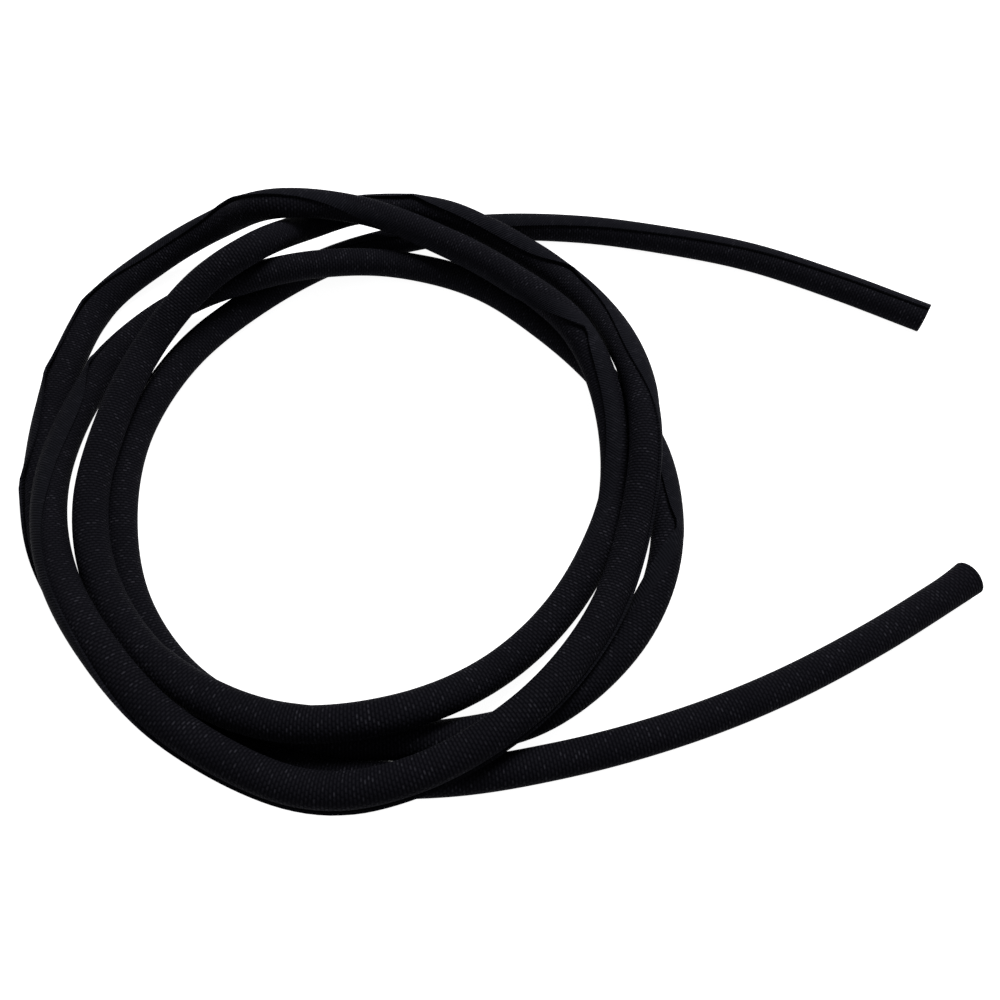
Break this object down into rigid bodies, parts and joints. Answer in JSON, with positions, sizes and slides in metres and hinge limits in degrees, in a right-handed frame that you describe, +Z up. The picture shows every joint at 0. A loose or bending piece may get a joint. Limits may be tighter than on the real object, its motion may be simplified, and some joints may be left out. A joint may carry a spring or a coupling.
{
  "type": "self-closing woven cable sleeve",
  "caption": "Black woven split sleeve, curled so its long edges overlap, lying in a loose coil with both ends free; it wraps and guards cables.",
  "frame": {"origin": "on the surface it lies on, under the centre of its overall bounds", "axes": "+X towards the two free ends, +Y towards the far side of the coil, +Z up"},
  "size_m": [0.3804, 0.2728, 0.0415],
  "materials": {
    "woven_wall": "tight woven monofilament, low sheen"
  },
  "bodies": {
    "root": {"sleeve": "woven_wall"}
  },
  "joints": []
}
